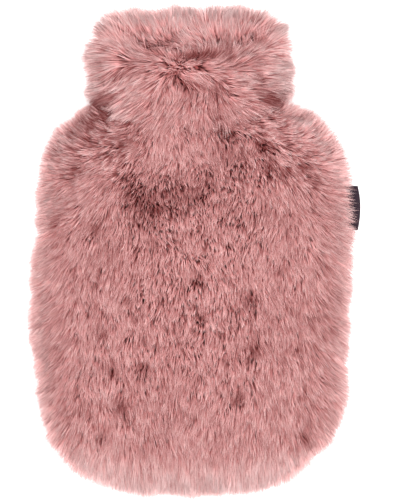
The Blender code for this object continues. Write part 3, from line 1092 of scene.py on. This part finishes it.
def growPiece(name, cloth, count, seed, keep, pile, hair, width):
    random = np.random.default_rng(seed)

    def thickAtRims(places, normals):
        thicker = growth["rimDensity"] * easeBetween(*growth["denser"], np.abs(normals[:, 2]))
        return keep(places, normals) * (1 + thicker)

    roots, normals = scatterRoots(cloth, count, random, thickAtRims)
    tips = growPile(roots, normals, pile, random)
    rim = easeBetween(*growth["rim"], np.abs(normals[:, 2]))
    loose = 1 - growth["rimLoose"] * rim
    tips, fine = gather(roots, tips, *growth["fine"], loose, random)
    tips, coarse = gather(roots, tips, *growth["coarse"], loose, random)
    tips, tuft = gather(roots, tips, growth["tuftShare"], pile["tufts"], loose, random)
    tips = keepOffFloor(tips, random)
    tones = hairTones(tips, normals, rim, (fine, coarse, tuft), pile, random)
    # Feet and tips take the painted shade of the partings near them. Where the cloth bends, the feet
    # are painted paler, painted light against the shade deep in the pile.
    shown = roots + (tips - roots) * lock["shadeFrom"]
    bent = atBend(roots, normals)
    footTones = tones - partingPushAndShade(shown, pile["spots"])[1] + tone["bendFeet"] * bent
    tipTones = tones - partingPushAndShade(tips, pile["spots"])[1]
    widths = width * (1 + growth["uneven"] * random.uniform(-1, 1, count))
    widths = widths * (1 - (1 - growth["rimWidth"]) * rim)
    matt = random.random(count)[fine] < growth["matt"] + growth["mattAtRims"] * rim
    looks = (footTones, tipTones, lock["mapEnds"][0] + tone["bendRise"] * bent)
    return joinHairs(name, roots, tips, normals, widths, looks, ~matt, hair, random)


def between(lowest, highest):
    def keep(places, normals):
        return ((places[:, 1] > lowest) & (places[:, 1] <= highest)).astype(float)

    return keep


def onShow(places, normals):
    # The collar's outside and fold, and the back of its mouth
    out = (places[:, 0] - centreX) * normals[:, 0] + (places[:, 2] - seamZ) * normals[:, 2]
    inMouth = (places[:, 1] > collar["mouth"]) & (places[:, 2] < seamZ + collar["mouthTop"])
    return ((out > 0) | (np.abs(normals[:, 1]) > collar["foldTurn"]) | inMouth).astype(float)


sheets = (  # each with its pieces of pile: name, hairs, seed and where they grow
    {
        "cloth": "front_cloth",
        "node": "front_panel",
        "held": "stretched",
        "flat": (0.225, 0.300),
        "grid": (panels["columns"], panels["rows"]),
        "place": panelPlace(panels["front"]),
        "pile": bodyPile,
        "width": 1.0,
        "pieces": (
            ("front_pile_upper", 42000, 41, between(18.0, math.inf)),
            ("front_pile_middle", 42000, 42, between(-76.0, 18.0)),
            ("front_pile_lower", 42000, 45, between(-math.inf, -76.0)),
        ),
    },
    {
        "cloth": "back_cloth",
        "node": "back_panel",
        "held": "stretched",
        "flat": (0.225, 0.300),
        "grid": (panels["columns"], panels["rows"]),
        "place": panelPlace(panels["back"]),
        "pile": bodyPile,
        "width": 1.55,  # fewer hairs grow here, so they are wider
        "pieces": (
            ("back_pile_upper", 33000, 43, between(-25.0, math.inf)),
            ("back_pile_lower", 33000, 46, between(-math.inf, -25.0)),
        ),
    },
    {
        "cloth": "collar_cloth",
        "node": "collar",
        "held": "folded",
        "flat": (0.270, 0.100),
        "grid": (collar["columns"], collar["rows"]),
        "place": collarPlace,
        "pile": collarPile,
        "width": 1.2,
        "pieces": (("collar_pile", 49000, 44, onShow),),
    },
)


def addPlush():
    hair = modelLock()
    pileLook, backing = pileMaterial(), backingMaterial()
    cloths = [layCloth(sheet["cloth"], *sheet["grid"], sheet["place"]) for sheet in sheets]
    print("cloth laid")
    for cloth, sheet in zip(cloths, sheets):
        node, flat, held = sheet["node"], sheet["flat"], sheet["held"]
        pile, width = sheet["pile"], sheet["width"]
        grown = [
            growPiece(name, cloth, count, seed, keep, pile, hair, width)
            for name, count, seed, keep in sheet["pieces"]
        ]
        thicken(cloth, panels["cloth"])
        cloth.data.materials.append(backing)
        for hairs in grown:
            hairs.data.materials.append(pileLook)
            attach(hairs, "root")
        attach(cloth, "root")
        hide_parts(node)


label = {
    "length": 34.0,
    "middleY": 32.5,
    "rootX": 99.5,
    "foldX": 127.4,
    "bow": 2.0,
    "cloth": 0.8,
    "slit": 0.7,
    "edge": 0.15,
    "wave": 0.5,
    "waveTurn": 4.0,
    "grid": (14, 60),
}


def labelPlace(u, v):
    # u runs along the seam, and v from the upper root round the fold to the lower root
    y = label["middleY"] + u * label["length"] / 2
    radius = label["slit"] / 2 + label["cloth"]
    foldStart = label["foldX"] - label["bow"] * u**2 - radius
    flatLength = foldStart - label["rootX"]
    arc = math.pi * radius
    walked = np.abs(v) * (flatLength + arc / 2)
    swing = np.clip((arc / 2 - walked) / radius, 0, None)
    onFold = walked < arc / 2
    x = np.where(onFold, foldStart + radius * np.sin(swing), foldStart - (walked - arc / 2))
    side = np.sign(v + 1e-9)  # the middle of the fold counts as its upper half
    z = side * np.where(onFold, radius * np.cos(swing), radius)
    ripple = label["wave"] * np.sin(u * label["waveTurn"])
    ripple = ripple * easeBetween(label["rootX"], label["foldX"], x)
    return np.stack([x, y, seamZ + z + ripple], axis=1)


tapeFinish = {
    "dark": (0.016, 0.010, 0.014, 1.0),
    "pale": (0.046, 0.030, 0.040, 1.0),
    "warp": 0.0007,  # metres from one thread to the next but one
    "weft": 0.0009,
    "bump": {"Strength": 0.5, "Distance": 0.0002},
    "roughness": 0.75,
}


def tapeMaterial():
    finish = tapeFinish
    material, shader, bench = newMaterial("plum_woven_tape", finish["roughness"])
    place = bench.make("ShaderNodeTexCoord", {}, {}, "Object")
    split = bench.make("ShaderNodeSeparateXYZ", {}, {"Vector": place})
    warp = bench.maths("SINE", split * (2 * math.pi / finish["warp"]), 0.0)
    weft = bench.maths("SINE", split.beside("Y") * (2 * math.pi / finish["weft"]), 0.0)
    weave = warp * weft * 0.5 + 0.5
    blend = {0: weave, 6: finish["dark"], 7: finish["pale"]}
    colour = bench.make("ShaderNodeMix", {"data_type": "RGBA"}, blend, 2)
    feed(colour, shader, "Base Color")
    bump = bench.make("ShaderNodeBump", {}, {"Height": weave, **finish["bump"]})
    feed(bump, shader, "Normal")
    return material


def addLabel():
    tape = layCloth("label_tape", *label["grid"], labelPlace)
    thicken(tape, label["cloth"])
    applyModifier(tape, "BEVEL", {"width": label["edge"] * mm, "segments": 1, "limit_method": "ANGLE"})
    tape.data.materials.append(tapeMaterial())
    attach(tape, "root")
    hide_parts("label")
    print("label folded")


stage = {
    "floorSize": 4.0,
    "floor": (0.93, 0.93, 0.93, 1.0),
    "floorRoughness": 0.9,
    "floorGlow": 0.40,
    "sky": (1.0, 1.0, 1.0, 1.0),
    "skyStrength": 1.20,
    "key": {"place": (0.06, -0.2, 1.6), "size": 1.0, "watts": 22.5},
}


def addStage():
    deselectAll()
    bpy.ops.mesh.primitive_plane_add(size=stage["floorSize"])
    floor = bpy.context.active_object
    floor.name = "floor"
    material, shader = newMaterial("pale_floor", stage["floorRoughness"])[:2]
    shader.inputs["Base Color"].default_value = stage["floor"]
    shader.inputs["Emission Color"].default_value = stage["floor"]
    shader.inputs["Emission Strength"].default_value = stage["floorGlow"]
    floor.data.materials.append(material)

    key = stage["key"]
    light = bpy.data.lights.new("softbox", "AREA")
    light.shape = "DISK"
    light.size = key["size"]
    light.energy = key["watts"]
    softbox = bpy.data.objects.new("softbox", light)
    softbox.location = key["place"]
    x, y, z = key["place"]
    softbox.rotation_euler = (-math.atan2(y, z), math.atan2(x, math.hypot(y, z)), 0)
    bpy.context.scene.collection.objects.link(softbox)

    world = bpy.data.worlds.new("studio")
    world.use_nodes = True
    background = world.node_tree.nodes["Background"]
    background.inputs["Color"].default_value = stage["sky"]
    background.inputs["Strength"].default_value = stage["skyStrength"]
    bpy.context.scene.world = world
    bpy.context.scene.view_settings.view_transform = "Standard"
    print("stage lit")


addCamera()
addPlush()
addLabel()
addStage()
